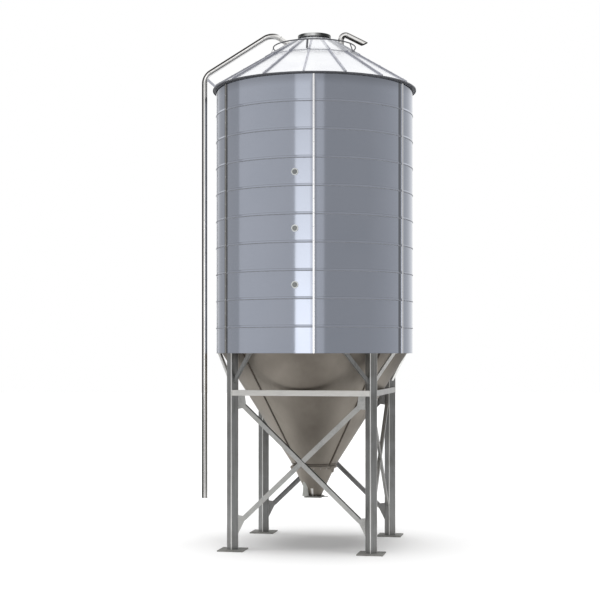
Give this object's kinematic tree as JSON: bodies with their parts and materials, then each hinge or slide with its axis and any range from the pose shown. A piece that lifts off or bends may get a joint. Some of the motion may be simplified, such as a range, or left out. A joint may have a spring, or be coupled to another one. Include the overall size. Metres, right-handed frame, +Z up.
{
  "type": "grain silo",
  "caption": "Round sheet-metal grain silo on braced legs, with a pointed ribbed roof, a hopper bottom, a blow-in fill pipe, a vent, sight glasses and an outlet with a slide gate.",
  "frame": {"origin": "middle of the whole object's plan box, at the underside of the foot plates", "axes": "+Z up; -Y is the front, with the sight glasses; the fill pipe stands at -X and the silo's own axis is at x 0.1335"},
  "size_m": [3.891, 3.624, 9.1345],
  "materials": {
    "wall_steel": "satin blue-grey galvanised sheet",
    "strip_steel": "bright galvanised cover strip",
    "roof_steel": "pale galvanised roof sheet",
    "dark_paint": "dark grey satin paint",
    "pipe_steel": "polished stainless steel",
    "hopper_steel": "warm satin stainless sheet",
    "leg_paint": "grey satin paint",
    "brace_steel": "galvanised steel",
    "port_plastic": "grey-green matte plastic",
    "glass_frame": "pale frame round a dull pane"
  },
  "bodies": {
    "silo": {"beam_front": "brace_steel", "beam_rear": "brace_steel", "beam_right": "brace_steel", "cross_brace_front": "brace_steel", "cross_brace_rear": "brace_steel", "cross_brace_right": "brace_steel", "eave_ring": "dark_paint", "fill_pipe": "pipe_steel", "hopper_joint_ring": "hopper_steel", "hopper_sheet_1": "hopper_steel", "hopper_sheet_2": "hopper_steel", "hopper_sheet_3": "hopper_steel", "hopper_sheet_4": "hopper_steel", "hopper_spout": "hopper_steel", "leg_front_left": "leg_paint", "leg_front_right": "leg_paint", "leg_rear_left": "leg_paint", "leg_rear_right": "leg_paint", "outlet_flange": "hopper_steel", "pipe_bracket": "pipe_steel", "roof_collar": "pipe_steel", "roof_front": "roof_steel", "roof_left": "roof_steel", "roof_lid": "pipe_steel", "roof_rail": "dark_paint", "roof_rear": "roof_steel", "roof_right": "roof_steel", "seam_strip_1": "strip_steel", "seam_strip_2": "strip_steel", "seam_strip_3": "strip_steel", "seam_strip_4": "strip_steel", "seam_strip_5": "strip_steel", "seam_strip_6": "strip_steel", "side_port": "port_plastic", "sight_glass_1": "glass_frame", "sight_glass_2": "glass_frame", "sight_glass_3": "glass_frame", "vent_pipe": "pipe_steel", "wall_panel_1": "wall_steel", "wall_panel_2": "wall_steel", "wall_panel_3": "wall_steel", "wall_panel_4": "wall_steel", "wall_panel_5": "wall_steel", "wall_panel_6": "wall_steel"},
    "gate": {"gate_blade": "brace_steel"}
  },
  "joints": [
    {"name": "gate_slide", "type": "slide", "parent": "silo", "child": "gate", "axis": [1, 0, 0], "range_m": [0, 0.26]}
  ]
}
